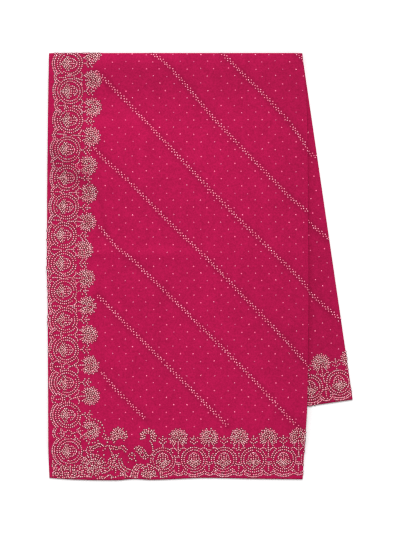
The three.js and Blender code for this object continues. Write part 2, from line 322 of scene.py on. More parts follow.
def front_place(column, row_y):
    """The plan place of a grid column and row of the front stretch."""
    share = (column - MIDDLE_LEFT) / (MIDDLE_RIGHT - MIDDLE_LEFT)
    left = front_left(row_y)
    x = left + share * (front_right(row_y) - left)
    y = NOSE_Y + (row_y - NOSE_Y) * (front_hem(x) - NOSE_Y) / (LOWEST_Y - NOSE_Y)
    return x, y


def nosed(x, y, low, rise, past_top):
    """A point of the front stretch, turned down over the top fold by past_top. The fold reaches out by as
    much as the leaf has rounded down on its way there."""
    angle = np.minimum(past_top, NOSE_ARC) / (NOSE_RADIUS + DOUBLED)
    radius = NOSE_RADIUS + rise
    drop = np.clip(past_top - NOSE_ARC, 0, NOSE_DROP)
    reach = (radius + TOP_ROLL["fall"]) * np.sin(angle)
    return np.stack((x, y + reach, low - NOSE_RADIUS + radius * np.cos(angle) - drop), -1)


def front_surface(x, y):
    """Where points of cloth laid out flat come to lie on the front stretch's face, turned round its edges
    where they run past them, and whether each is still on the face."""
    past_top = np.maximum(0, y - NOSE_Y)
    y = np.minimum(y, NOSE_Y)
    left, right = (front_place(column, y)[0] for column in (FLAT_LEFT, FLAT_RIGHT))
    past_left, past_right = np.maximum(0, left - x), np.maximum(0, x - right)
    base = np.clip(x, left, right)
    turned = np.maximum(past_left, past_right) / FOLD_RADIUS
    turn = np.where(past_left > 0, np.minimum(turned, tuck_turn(y)), turned)
    shift = np.where(past_left > 0, -FOLD_RADIUS, FOLD_RADIUS) * np.sin(turn)
    share = (1 + np.cos(turn)) / 2
    rise = DOUBLED * share + share * front_relief(base, y)
    on = turned <= STONE_TURN
    on &= past_top <= NOSE_ARC + NOSE_DROP
    on &= y >= front_hem(x) + HEM_MARGIN
    return nosed(base + shift, y, front_low(base, y), rise, past_top), on


def back_surface(across, along):
    """The same for the back stretch, in its own axes."""
    past = np.maximum(0, FOLD_RADIUS - across)
    turn = past / FOLD_RADIUS
    base = np.maximum(across, FOLD_RADIUS)
    x, y = back_place(base - FOLD_RADIUS * np.sin(turn), along)
    z = FOLD_RADIUS * (1 + np.cos(turn)) + back_relief(base, along)
    on = (turn <= STONE_TURN) & (along <= BACK_LENGTH - HEM_MARGIN) & (x > front_right(y) - OVERLAP)
    return np.stack((x, y, z), -1), on


# ---- meshes
def new_mesh(name, points, faces, smooth=True, tints=None, materials=None):
    """An object from points in millimetres and arrays of faces. tints and materials have one for each."""
    mesh = bpy.data.meshes.new(name)
    corners = np.concatenate([group.ravel() for group in faces])
    sizes = np.concatenate([np.full(len(group), group.shape[1]) for group in faces])
    starts = np.concatenate(([0], np.cumsum(sizes)[:-1]))
    mesh.vertices.add(len(points))
    mesh.vertices.foreach_set("co", (points * MM).astype(np.float32).ravel())
    mesh.loops.add(len(corners))
    mesh.loops.foreach_set("vertex_index", corners.astype(np.int32))
    mesh.polygons.add(len(sizes))
    settings = {"loop_start": starts, "loop_total": sizes, "use_smooth": np.full(len(sizes), smooth)}
    if materials is not None:
        settings["material_index"] = materials
    for key, values in settings.items():
        mesh.polygons.foreach_set(key, values.astype(np.int32))
    if tints is not None:
        mesh.attributes.new("tint", "FLOAT", "FACE").data.foreach_set("value", tints.astype(np.float32))
    mesh.update(calc_edges=True)
    mesh.validate()
    piece = bpy.data.objects.new(name, mesh)
    bpy.context.scene.collection.objects.link(piece)
    return piece


def set_light_and_shade(piece, table=(), bands=()):
    """Gives each point how much paler or darker its colour is painted: painted light and shade from a table's
    strokes, and darker along bands of stones. 1 is its own colour.
    """
    points = np.empty(3 * len(piece.data.vertices), np.float32)
    piece.data.vertices.foreach_get("co", points)
    x, y = points.reshape(-1, 3)[:, :2].T / MM
    tones = 1 + strokes(table, "change", x, y)
    for line in bands:
        distance = np.min([distance_to(start, end, x, y) for start, end in zip(line, line[1:])], axis=0)
        tones += BESIDE_BAND["change"] * np.exp(-((distance / BESIDE_BAND["half"]) ** 2))
    attribute = piece.data.attributes.new("tone", "FLOAT", "POINT")
    attribute.data.foreach_set("value", tones.astype(np.float32))
    return piece


def grid_faces(columns, rows, first):
    """Quads of a grid whose points are numbered column by column."""
    i, j = np.meshgrid(np.arange(columns - 1), np.arange(rows - 1), indexing="ij")
    corner = (first + i * rows + j).ravel()
    return np.stack((corner, corner + 1, corner + rows + 1, corner + rows), -1)


def rim_loop(columns, rows):
    """The outline of a grid as column and row numbers, once round."""
    last, end = columns - 1, rows - 1
    sides = ((0, range(end)), (range(last), end), (last, range(end, 0, -1)), (range(last, 0, -1), 0))
    return np.concatenate([np.broadcast_arrays(*side) for side in sides], axis=1)


def closed_shell(name, upper, lower, rings=()):
    """A closed body between two grids of points, whose rim passes through rings of points."""
    columns, rows = upper.shape[:2]
    points = [upper.reshape(-1, 3), lower.reshape(-1, 3), *rings]
    skin = columns * rows
    i, j = rim_loop(columns, rows)
    edge = i * rows + j
    count = len(edge)
    numbers = [edge, *(2 * skin + count * k + np.arange(count) for k in range(len(rings))), skin + edge]
    faces = [grid_faces(columns, rows, 0), grid_faces(columns, rows, skin)[:, ::-1]]
    for above, below in zip(numbers, numbers[1:]):
        faces.append(np.stack((np.roll(above, -1), above, below, np.roll(below, -1)), -1))
    return new_mesh(name, np.concatenate(points), [np.concatenate(faces)])


def lines_between(start, end, pitch):
    return np.linspace(start, end, max(2, round(abs(end - start) / pitch) + 1))


def front_cloth():
    """Both leaves of the front stretch: the tucked selvedge, top leaf, fold and lower leaf."""
    row_y = lines_between(NOSE_Y, LOWEST_Y, FINE_PITCH)
    past = np.concatenate(([NOSE_ARC + NOSE_DROP], lines_between(NOSE_ARC, 0, NOSE_PITCH)[:-1]))
    row_y = np.concatenate((np.full(len(past), NOSE_Y), row_y))
    past = np.concatenate((past, np.zeros(len(row_y) - len(past))))
    top = lines_between(FLAT_LEFT, FLAT_RIGHT, FINE_PITCH)
    low = lines_between(FLAT_RIGHT, FLAT_LEFT, COARSE_PITCH)[1:-1]
    edge_x, edge_y = front_place(top[0], row_y)
    fold_x, fold_y = front_place(top[-1], row_y)

    def station(x, y, rise, base_x, base_y, relief):
        height = rise + relief * front_relief(base_x, base_y)
        return nosed(x, y, front_low(base_x, base_y), height, past)

    def skin(thin):
        """The points of the leaves' face where thin is 0, and of their inside where it is 1."""
        inside = thin * LEAF
        radius = FOLD_RADIUS - inside
        flat = tuck_flat(row_y)
        for step, share in enumerate((1.0, *np.linspace(1, 0, ARC_STEPS, endpoint=False))):
            angle = tuck_turn(row_y) * share
            reach = 0 if step else flat
            x = edge_x - radius * np.sin(angle) - reach * np.cos(angle)
            rise = FOLD_RADIUS + radius * np.cos(angle) - reach * np.sin(angle)
            yield station(x, edge_y, rise, edge_x, edge_y, (1 + np.cos(angle)) / 2)
        for column in top:
            place = front_place(column, row_y)
            yield station(*place, DOUBLED - inside, *place, 1)
        for angle in HALF_TURN:
            x = fold_x + radius * np.sin(angle)
            rise = FOLD_RADIUS + radius * np.cos(angle)
            yield station(x, fold_y, rise, fold_x, fold_y, (1 + np.cos(angle)) / 2)
        yield station(fold_x, fold_y, inside, fold_x, fold_y, 0)
        for column in low:
            place = front_place(column, row_y)
            yield station(*place, inside, *place, 0)
        lower_x = edge_x + flat + LOWER_INSET
        yield station(lower_x, edge_y, inside, lower_x, edge_y, 0)

    return closed_shell("front_cloth", np.stack(list(skin(0))), np.stack(list(skin(1))))


def back_cloth():
    """Both leaves of the back stretch, from the top leaf's selvedge round the fold to the lower's."""
    shares = lines_between(0, 1, FINE_PITCH / BACK_LENGTH)
    shows = lines_between(FOLD_RADIUS, BACK_SHOWS, FINE_PITCH)
    hides = lines_between(BACK_SHOWS, BACK_WIDTH, COARSE_PITCH)[1:]
    top = np.concatenate((shows, hides))[::-1]

    def station(across, base, z):
        along = back_top(base) + shares * (BACK_LENGTH - back_top(base))
        x, y = back_place(across, along)
        lift = back_relief(base, along) if z > FOLD_RADIUS else 0
        return np.stack((x, y, z + lift + 0 * x), -1)

    def skin(thin):
        radius = FOLD_RADIUS - thin * LEAF
        stations = [station(across, across, DOUBLED - thin * LEAF) for across in top]
        for angle in HALF_TURN:
            across = FOLD_RADIUS - radius * math.sin(angle)
            stations.append(station(across, FOLD_RADIUS, FOLD_RADIUS + radius * math.cos(angle)))
        low = np.concatenate(([FOLD_RADIUS], lines_between(FOLD_RADIUS, BACK_WIDTH, COARSE_PITCH)[1:]))
        stations += [station(across, across, thin * LEAF) for across in low]
        return np.stack(stations)

    return closed_shell("back_cloth", skin(0), skin(1))


def inner_cloth():
    """The hidden stretches as one pile with a layered rim: folds on three sides, open leaves on one."""
    columns = lines_between(MIDDLE_RIGHT - PILE_RIGHT, MIDDLE_LEFT + PILE_LEFT, PILE_PITCH)
    rows = lines_between(NOSE_Y - PILE_TOP, LOWEST_Y + PILE_HEM, PILE_PITCH)
    column, row_y = np.meshgrid(columns, rows, indexing="ij")
    x, y = front_place(column, row_y)
    top = np.stack((x, y, front_low(x, y) - LEAF_GAP_SEAM), -1)
    off_back = PILE_FOOT["reach"] - outside_back(x, y) / PILE_FOOT["run"]
    foot_z = (DOUBLED + LEAF_GAP_SEAM) * smoothstep(off_back)
    foot = np.stack((x, y, np.minimum(foot_z, top[..., 2] - PILE_FOOT["least"])), -1)
    i, j = rim_loop(*x.shape)
    inner = top[np.clip(i, 1, x.shape[0] - 2), np.clip(j, 1, x.shape[1] - 2)]
    outward = unit((top[i, j] - inner) * (1, 1, 0))
    open_side = np.clip(-outward[:, 0], 0, 1)
    along_rim = x[i, j] + 1.7 * y[i, j]
    rings = []
    steps = 4 * HIDDEN_STRETCHES
    for step in range(1, steps):
        stretch, part = divmod(step, 4)
        bulge = FOLD_BULGE[part] * (1 - open_side) + LEAVES_BULGE[part] * open_side
        # Two slow waves along the rim, out of step from one stretch to the next.
        uneven = 0.9 * np.sin(along_rim / 83 + 2.4 * stretch) + 0.5 * np.sin(along_rim / 29 + 4.1 * stretch)
        uneven = uneven * (PILE_RIM["folds"] + PILE_RIM["leaves"] * open_side)
        reach = PILE_RIM["reach"] + PILE_RIM["growth"] * stretch + uneven
        out = reach * bulge + PILE_RIM["belly"] * min(step, steps - step) / steps
        share = step / steps
        rings.append(top[i, j] * (1 - share) + foot[i, j] * share + outward * out[:, None])
    return closed_shell("inner_cloth", top, foot, rings)


# ---- the stone work's charts
# A chart is an array of stones: u along the hem, v inward from it, and 1 for a gold stone or 0 for a
# crystal. A symmetrical chart is drawn for u from 0 up, and mirrored.
MEDALLION = (22.2, 28.0)  # the radii of its rings
FLOWER = {"radius": 20.9, "heart": (4.9, 4.2), "pitch": 3.6, "long": 0.44, "short": (0.69, 0.88), "gold": 0.7}
SCALLOP = named("radius bulge", (34.4, 11.0), (38.8, 15.4))
CUSP = {"short": 13, "v": -20.3}  # how far short of half way a scallop ends, and the bulge's middle


def dots(*places, gold=0):
    places = np.array(places, float)
    return np.column_stack((places, np.full(len(places), float(gold))))


def lengths_along(line):
    return np.concatenate(([0], np.cumsum(np.linalg.norm(np.diff(line, axis=0), axis=1))))


def places_at(at, lengths, line):
    return [np.interp(at, lengths, line[:, axis]) for axis in (0, 1)]


def row(*corners, pitch=STONE_PITCH, gold=0):
    """Stones evenly along a line through the corners."""
    line = np.array(corners, float)
    lengths = lengths_along(line)
    at = np.linspace(0, lengths[-1], max(2, round(lengths[-1] / pitch) + 1))
    return dots(*zip(*places_at(at, lengths, line)), gold=gold)


def rows(pitch, *lines, gold=0):
    """A row for each line, which is given as u, v, u, v and so on."""
    return [row(*zip(line[::2], line[1::2]), pitch=pitch, gold=gold) for line in lines]


def arc(centre, radius, start, end, pitch=STONE_PITCH):
    """Stones along an arc, from start to end in degrees."""
    count = max(2, round(math.radians(abs(end - start)) * radius / pitch) + 1)
    angles = np.radians(np.linspace(start, end, count))
    return dots(*zip(centre[0] + radius * np.cos(angles), centre[1] + radius * np.sin(angles)))


def arcs(centre, pitch, *parts):
    """Arcs about one centre, each given as its radius, start and end."""
    return [arc(centre, *part, pitch) for part in parts]


def ring(centre, radius, pitch=STONE_PITCH):
    count = round(2 * math.pi * radius / pitch)
    return arc(centre, radius, 0, 360 * (count - 1) / count, pitch)


def both_sides(stones):
    """A chart and its mirror image across the motif's axis."""
    return np.concatenate((stones, stones[stones[:, 0] > 0.5] * (-1, 1, 1)))


def moved(stones, u, v):
    return stones + (u, v, 0)


def lotus():
    """The flower inside a medallion: a cup of nested rows under a bud."""
    cup = [row((0, -18.4 + 4.3 * k), (15 - 3.3 * k, -7 + 2.2 * k), pitch=4.3, gold=1) for k in range(4)]
    bud = (dots((15.2, -2.4)), *rows(4.1, (11.4, 1.4, 10.8, 7.4, 7.6, 12.2, 2.8, 15.2)))
    inside = rows(4.2, (5.2, 2.8, 5.6, 8.6), (0, -1.4, 0, 15.8))
    return both_sides(np.concatenate((*cup, *bud, *inside)))


def sprig():
    """The small plant that stands on a medallion."""
    arms = (*rows(4.3, (0, 36.4, 7.4, 41.4)), *rows(4.4, (0, 44.4, 8, 50)))
    return both_sides(np.concatenate((*arms, dots((0, 32.2), (0, 49.2), (0, 53.6)))))


def medallion():
    return np.concatenate((*(ring((0, 0), radius) for radius in MEDALLION), lotus(), sprig()))


def fan(count, gap, near, far):
    """Short rows on rays about the origin, all round but for a gap below, in degrees either side."""
    parts = []
    for k in range(count):
        angle = math.radians(-90 + gap + (360 - 2 * gap) * k / (count - 1))
        toward = np.array([math.cos(angle), math.sin(angle)])
        parts.append(row(toward * near, toward * far, pitch=FLOWER["pitch"]))
    return np.concatenate(parts)


def flower(radius=FLOWER["radius"], spokes=12, gap=30):
    """A round flower of long and short spokes about a dense heart, open below where the stem comes in.
    It is of gold stones inside and crystals outside."""
    between = (180 - gap) / (spokes - 1)  # the angle from a long spoke to a short one
    heart = (dots((0, 0)), ring((0, 0), *FLOWER["heart"]))
    long = fan(spokes, gap, radius * FLOWER["long"], radius)
    short = fan(spokes - 1, gap + between, *(radius * share for share in FLOWER["short"]))
    stones = np.concatenate((*heart, long, short))
    stones[:, 2] = np.hypot(stones[:, 0], stones[:, 1]) < radius * FLOWER["gold"]
    return stones


def palmette(lean=0.0, reach=50.0):
    """What stands between two medallions: a small ring, a crow's foot on its hem side, a stem that leans
    along the border, leaves and the round flower, whose middle lies as far in as its reach."""
    foot = (*rows(4.4, (3.4, -10.6, 8, -13.6, 13.6, -20.8)), *rows(4.5, (0, -10.8, 0, -24.5)))
    leaves = (*rows(4.3, (1.9, 18.5, 6, 25, 11.5, 27.8, 16.6, 25.6)), *rows(4.2, (0, 35.6, 0, 43)))
    head = np.concatenate((both_sides(np.concatenate(leaves)), moved(flower(), 0, reach)))
    stem = row((0, 9.8), (0.7 * lean, 21), (lean, 31.6), pitch=4.4)
    return np.concatenate((ring((0, 0), 6.6), both_sides(np.concatenate(foot)), stem, moved(head, lean, 0)))


def scallop(half_pitch):
    """The two rows on the hem side of a medallion, up to the cusps, and half of each small bulge past."""
    parts = []
    for place in SCALLOP:
        end = math.degrees(math.asin(min(0.9, (half_pitch - CUSP["short"]) / place["radius"])))
        parts += arcs((0, 0), 3.8, (place["radius"], -90, -90 + end))
        parts += arcs((half_pitch, CUSP["v"]), 3.8, (place["bulge"], -162, -97))
    return both_sides(np.concatenate(parts))


def laid(stones, origin, inward):
    """A chart turned so that its axis points along the inward direction, and moved to its place."""
    inward = np.array(inward, float) / np.hypot(*inward)
    x = origin[0] + stones[:, 0] * inward[1] + stones[:, 1] * inward[0]
    y = origin[1] - stones[:, 0] * inward[0] + stones[:, 1] * inward[1]
    return np.column_stack((x, y, stones[:, 2]))


def border(table, side):
    """A border along medallion centres: medallions on them, palmettes midway, scallops on the hem side.
    side is 1 where inward is on the left of the run and -1 where it is on the right."""
    centres = np.array([(place["x"], place["y"]) for place in table], float)
    steps = np.diff(centres, axis=0)
    parts = []
    for k, centre in enumerate(centres):
        near = steps[max(0, k - 1) : k + 1]
        run = near.sum(axis=0)
        half = np.linalg.norm(near, axis=1).mean() / 2
        inward = (-side * run[1], side * run[0])
        parts.append(laid(np.concatenate((medallion(), scallop(half))), centre, inward))
    for centre, step, place in zip(centres, steps, table):
        inward = (-side * step[1], side * step[0])
        shape = {key: place[key] for key in ("lean", "reach") if key in place}
        parts.append(laid(palmette(**shape), centre + step / 2, inward))
    return np.concatenate(parts)


# ---- where the stone work lies
# lean is how far the next palmette's flower leans, positive to the right of its own inward direction, and
# reach is how far in it stands.
LEFT_MEDALLIONS = named(
    "x y lean reach",
    (-292.5, 521, 9),
    (-292.1, 456.4, 7),
    (-291.2, 394.5, 3),
    (-291.8, 329.3),
    (-297.2, 263.8, 3.5, 46),
    (-297.9, 199.5, 0.5, 49),
    (-300.4, 135.3, -1, 49),
    (-305.3, 71, 0.5, 44.5),
    (-305.8, 7.3, 2, 48.5),
    (-304.9, -55, 2, 50),
    (-302.9, -119.8, 0.5, 51),
    (-300.8, -186.6, -2, 53),
    (-299.4, -260.5, -5, 52),
    (-296.3, -333.3, -5),
    (-293.3, -414.5),
)
HEM_MEDALLIONS = named(
    "x y",
    (-83, -434.7),
    (-13.3, -433.8),
    (54.2, -433.7),
    (120.6, -434.2),
    (188.1, -433.1),
    (256, -432.7),
)
BACK_MEDALLIONS = named(  # in the back stretch's axes, x across from its fold and y along it
    "x y lean",
    (-41.2, 744.6),
    (24.8, 745.6),
    (90.8, 747.3, -3),
)
BANDS = (  # each is x, y, x, y and so on
    (216, 482, 236, 462),
    (48, 482, 112, 418, 155, 375, 196, 330, 229, 286, 245, 262),
    (-112, 482, -85, 465, -42, 420, 34, 330, 120, 240, 209, 150, 245, 122),
    (-232, 439, -168, 375, -83, 285, 2, 195, 90, 105, 182, 15, 228, -30, 247, -52),
    (-238, 267, -213, 240, -162, 195, -74, 105, 20, 15, 106, -75, 193, -165, 246, -226),
    (-227, 92, -192, 49, -150, 15, -58, -75, 34, -165, 122, -255, 205, -345, 222, -361),
    (-230, -63, -175, -120, -85, -210, 5, -300, 62, -356),
    (-221, -236, -192, -272, -162, -302, -119, -345),
)
BACK_BANDS = (  # in the back stretch's axes
    (0, 237, 30, 214),
    (0, 423, 60, 357),
    (0, 608, 70, 525),
)
HALF = {"centre": (-114.5, -475.1), "reach": 33.0}  # the half medallion on the hem, by the corner
FILLING = {"left": -331, "right": -248, "low": -474.5, "high": -450, "apart": 3.7}  # in the corner
BAND = {"pitch": 9.7, "apart": 3.0}
LATTICE = {"x": 30.6, "y": 16.4}
FRONT_SINGLES = {"from": (-258.3, 493.5), "to": (250, -395), "off_border": 12, "off_band": 7}
BACK_SINGLES = {"from": (-1.3, 32), "to": (120, 700), "off_work": 9}


def points_of(line):
    return np.array(line, float).reshape(-1, 2)


def band(line):
    """Three staggered rows of stones along a line."""
    line = points_of(line)
    lengths = lengths_along(line)
    parts = []
    for side in (-1, 0, 1):
        at = np.arange(BAND["pitch"] * (0.5 if side else 0), lengths[-1], BAND["pitch"])
        x, y = places_at(at, lengths, line)
        behind = places_at(at - 1, lengths, line)
        dx, dy = x - behind[0], y - behind[1]
        size = np.maximum(np.hypot(dx, dy), 0.01) / (side * BAND["apart"] or 1)
        offset = (-dy / size, dx / size) if side else (0, 0)
        parts.append(dots(*zip(x + offset[0], y + offset[1]), gold=side == 0))
    return np.concatenate(parts)


def lattice(start, end):
    """Single stones on a centred lattice between two corners."""
    heights = np.arange(start[1], end[1], math.copysign(LATTICE["y"], end[1] - start[1]))
    parts = []
    for k, y in enumerate(heights):
        xs = np.arange(start[0] + (k % 2) * LATTICE["x"] / 2, end[0], LATTICE["x"])
        parts.append(dots(*zip(xs, np.full(len(xs), y))))
    return np.concatenate(parts)


def clear_of(stones, others, distance):
    """The stones that lie further than a distance from all the others."""
    apart = [np.min(np.hypot(*(others[:, :2] - stone[:2]).T)) for stone in stones]
    return stones[np.array(apart) > distance]


def spaced(stones, distance):
    """The stones without those that lie nearer than a distance to one before them."""
    kept = np.ones(len(stones), bool)
    for k in range(1, len(stones)):
        apart = np.hypot(*(stones[:k, :2] - stones[k, :2]).T)
        kept[k] = not np.any(kept[:k] & (apart < distance))
    return stones[kept]


def half_medallion():
    """Nested arcs, closer and more on the left, round a lotus that stands on the hem."""
    left = arcs((0, 0), 3.6, (27, 98, 178), (32, 112, 178), (36.6, 122, 178), (41.2, 134, 178))
    right = arcs((0, 0), 3.8, (27, 2, 72), (31.6, 2, 56))
    foot = rows(3.8, (-5, 1, -15, 3), (7, 2, 17, 4))
    return np.concatenate((*left, *right, moved(lotus(), -1, 15), *foot))


def corner_flowers():
    """Whole and broken flowers, with short rays about two of them, and the half medallion."""
    upward = (0, 1)
    sparse = flower(18.2, 7, 64)
    sparse = sparse[np.hypot(sparse[:, 0], sparse[:, 1]) > 5.5]
    return (
        laid(flower(), (-239.4, -450.5), upward),
        laid(fan(17, 72, 25, 29), (-239.4, -450.5), upward),
        laid(fan(21, 30, 26.4, 26.5)[::2], (-241.7, -368.2), (1, 0)),
        laid(flower(18.8, 9, 44), (-181.8, -379.5), (-0.1, 1)),
        laid(sparse, (-116.1, -381.3), (0.12, 1)),
        laid(half_medallion(), HALF["centre"], upward),
    )


def selvedge_rows():
    """The rows of the corner's outer side, between the last two medallions and past the last."""
    edge = (-330.6, -432.3, -332, -445.9, -328.7, -461.1)
    beside = (-326.4, -434, -327.6, -446, -324.6, -458.5)
    broken = (
        (-324.9, -455.7, -308, -455.7), (-321.5, -434.5, -313.7, -442.5),
        (-309.8, -446.5, -313.7, -453), (-311.9, -459.6, -313.7, -469.5),
    )
    close = (
        (-320.4, -433.5, -306.9, -449.2), (-318.2, -458.2, -304.7, -458.2),
        (-309.2, -461, -309.2, -474), (-320.4, -374.9, -304.7, -374.9),
        (-312.5, -367.1, -312.5, -383.9), (-302.4, -384.6, -275.4, -386.8),
        (-282.2, -379.5, -268.9, -392.7),
    )
    bead = ring((-322.4, -467.4), 3.9, 4.4)
    return *rows(4.3, edge, beside), bead, *rows(STONE_PITCH, *broken), *rows(4.3, *close)


def hem_rows():
    """The rows of the corner's lower side, along the hem."""
    waved = (
        (-226, -472.8, -211, -473.5, -203.4, -468.3, -195.5, -473.9),
        (-184.3, -470.6, -177.5, -468.3, -166.3, -473.9, -150, -472),
    )
    stem = ((-238.4, -449, -238.4, -472), (-241.8, -456, -241.8, -473), (-235, -456, -235, -471))
    crossed = (
        (-300.2, -447, -300.2, -474), (-291.2, -444.7, -291.2, -471.7),
        (-282.2, -442.5, -282.2, -469.5), (-304.7, -453.7, -277.7, -451.5),
        (-304.7, -465, -277.7, -462.7), (-230.4, -476.4, -214.7, -476.4),
        (-198.9, -475.6, -180.9, -471.7), (-178.7, -464.2, -156.1, -474),
        (-275.4, -417.7, -258, -433.2), (-272.9, -427, -257.2, -442.5),
    )
    return (
        ring((-297.5, -457.5), 6.6),
        *rows(4.1, (-313.5, -453, -297, -462.5), (-311, -460, -296.5, -456), gold=1),
        *rows(4.2, (-331, -463, -316, -463.5), (-275, -447.5, -262, -452.5, -252, -447)),
        *arcs((-263, -466.5), 4.4, (9.4, -20, 200), (16.8, 30, 165)),
        *rows(4.3, (-307, -470.5, -297, -466.5, -287, -469.5, -280, -461.5)),
        *rows(4.1, (-277, -472.5, -244, -473)),
        *rows(4.3, *waved),
        *rows(4.3, *stem, gold=1),
        *rows(4.3, *crossed),
    )


def broken_medallions():
    """What shows of two medallions between the corner's flowers."""
    second, third = (-223, -437.3), (-154.1, -434.6)
    return (
        *arcs(second, 4, (17, -80, 10), (22.4, -84, 16), (28.2, -84, 4)),
        *arcs(third, 4, (22.6, 170, 262), (28.4, 176, 254), (34.2, 196, 246)),
        *arcs(third, STONE_PITCH, (22.8, 20, 62), (27.2, 6, 74), (31.8, 4, 72), (37, 10, 62)),
        ring((-152.7, -425.6), 7.2, 5.6),
        dots((-152.7, -424.5), (-149.5, -429), (-143.6, -436), (-160.5, -440.5)),
    )


def broken_rows():
    """The loose rows over the broken medallions and between them."""
    upper = (-255.2, -403.1, -241.4, -405.1, -229.7, -397.2, -222.1, -397.2, -216.2, -404.2,
             -208.4, -401.3, -196.7, -403.1, -185, -406, -173.3, -401.3, -163.4, -411)
    return (
        *rows(4.2, upper),
        *rows(4.3, (-250.7, -397.5, -255.2, -417.7), (-259.7, -411, -241.7, -403.2)),
        *rows(4.2, (-239, -409, -228.5, -403.2, -219, -403.4, -213, -409.5)),
        *rows(4.6, (-203, -407, -190, -411, -176, -407.5, -167, -416)),
        *rows(4.3, (-201.2, -411, -191.5, -428, -191.5, -440)),
        *rows(4.3, (-183.2, -420.2, -189.9, -435.7), (-198, -449.2, -184.4, -449.2)),
        dots((-216.9, -372.7), (-219.1, -379.4), (-212.4, -384), (-207.9, -393), (-205.7, -384)),
        dots((-229.7, -414.8), (-218, -413), (-244.3, -415.9), (-228.8, -422.7), (-216.2, -422.7)),
        *rows(4.2, (-200.5, -416.6, -190.6, -438.2)),
        *rows(4, (-188.8, -422.7, -194.6, -428.5)),
        *rows(4.3, (-189.7, -441.5, -189.7, -463), (-192.5, -449, -197.5, -457)),
        *rows(4.3, (-186.9, -449, -181.9, -457)),
        *rows(4.6, (-218, -373.8, -210, -379.5, -214.7, -386, -201.5, -388)),
        *rows(4.3, (-112, -391, -106, -400, -106, -412), (-124, -424, -106, -424)),
    )


def corner():
    """Where the two borders meet in the hem corner: parts of medallions and flowers, broken rows between
    them and a dense filling by the selvedge. Gold and crystal lie mixed here."""
    parts = (corner_flowers(), selvedge_rows(), hem_rows(), broken_medallions(), broken_rows())
    work = np.concatenate([stones for part in parts for stones in part])
    heights = np.arange(FILLING["low"], FILLING["high"], FILLING["apart"])
    filling = np.concatenate(rows(3.8, *((FILLING["left"], y, FILLING["right"], y) for y in heights)))
    stones = np.concatenate((work, clear_of(filling, work, 3)))
    stones[::2, 2] = 1
    return stones


# ---- the stones themselves
SEED = 7
rng = np.random.default_rng(SEED)

# A stone is a faceted dome in a dark fillet, partly its glue and partly painted shade round it. The tiers are
# (radius, height) in stone radii.
WIDE_GLUE_AND_SHADE = (1.9, 0.02)
THIN_GLUE_AND_SHADE = (1.08, 0.02)
GIRDLE = (1.0, 0.14)
FACETED = (THIN_GLUE_AND_SHADE, GIRDLE, (0.86, 0.36), (0.45, 0.54))
BORDER_STONE = {"size": 3.25, "sides": 6, "tiers": (WIDE_GLUE_AND_SHADE, GIRDLE, (0.5, 0.52))}
BAND_STONE = {"size": 3.1, "sides": 8, "tiers": FACETED}
FIELD_STONE = {"size": 3.7, "sides": 8, "tiers": FACETED}
CRYSTAL, GOLD, TINTS = 0.0, 0.6, 0.4  # where the tints of each start, and how far they run
TINT_LEAN = 1.4  # above 1 more stones have a deep tint
TILT = 0.08
SIZE_SPREAD = 0.1
SLOPE_STEP = 0.2  # over which the surface's slope is taken


def stone_mesh(kind):
    """Points, quads and end faces of a stone of unit radius."""
    sides = kind["sides"]
    angles = 2 * np.pi * np.arange(sides) / sides
    circle = np.column_stack((np.cos(angles), np.sin(angles)))
    rings = [np.column_stack((radius * circle, np.full(sides, height))) for radius, height in kind["tiers"]]
    around = np.arange(sides)
    quads = []
    for tier in range(len(rings) - 1):
        low, high = around + tier * sides, around + (tier + 1) * sides
        quads.append(np.stack((low, np.roll(low, -1), np.roll(high, -1), high), -1))
    ends = np.stack((around[::-1], around + (len(rings) - 1) * sides))
    return np.concatenate(rings), np.concatenate(quads), ends


def stones_piece(name, surface, stones, kind, uneven, lost):
    """Stones at flat places on a surface, each with its own turn, tilt, size and tint, joined in one mesh.
    uneven is how far they stray, and lost is the share that is missing."""
    stones = stones[rng.random(len(stones)) > lost]
    places = stones[:, :2] + rng.normal(0, uneven, (len(stones), 2))
    at, on = surface(places[:, 0], places[:, 1])
    ahead, _ = surface(places[:, 0] + SLOPE_STEP, places[:, 1])
    aside, _ = surface(places[:, 0], places[:, 1] + SLOPE_STEP)
    up = np.cross(ahead - at, aside - at)
    on &= np.linalg.norm(up, axis=1) > 0.1 * SLOPE_STEP**2  # off the surface it shrinks to a line
    at, up, gold = at[on], unit(up[on]), stones[on, 2]
    count = len(at)
    up = unit(up + rng.normal(0, TILT, up.shape))
    turn = rng.random(count) * 2 * np.pi
    side = unit(np.cross(up, np.stack((np.cos(turn), np.sin(turn), np.zeros(count)), -1)))
    radius = kind["size"] / 2 * (1 + rng.uniform(-SIZE_SPREAD, SIZE_SPREAD, count))
    points, quads, ends = stone_mesh(kind)
    basis = np.stack((side, np.cross(up, side), up), 1)
    placed = at[:, None, :] + np.einsum("pk,nkc->npc", points, basis) * radius[:, None, None]
    first = (np.arange(count) * len(points))[:, None, None]
    all_quads = (quads[None] + first).reshape(-1, 4)
    all_ends = (ends[None] + first).reshape(-1, ends.shape[1])
    tint = np.where(gold > 0.5, GOLD, CRYSTAL) + TINTS * rng.random(count) ** TINT_LEAN
    tints = np.concatenate((np.repeat(tint, len(quads)), np.repeat(tint, len(ends))))
    glue_and_shade = np.tile(np.arange(len(quads)) < kind["sides"], count)
    glued_and_shaded = np.concatenate((glue_and_shade, np.tile((True, False), count)))
    return new_mesh(name, placed.reshape(-1, 3), [all_quads, all_ends], False, tints, glued_and_shaded)


# ---- materials
FUCHSIA = (0.43, 0.0039, 0.063)
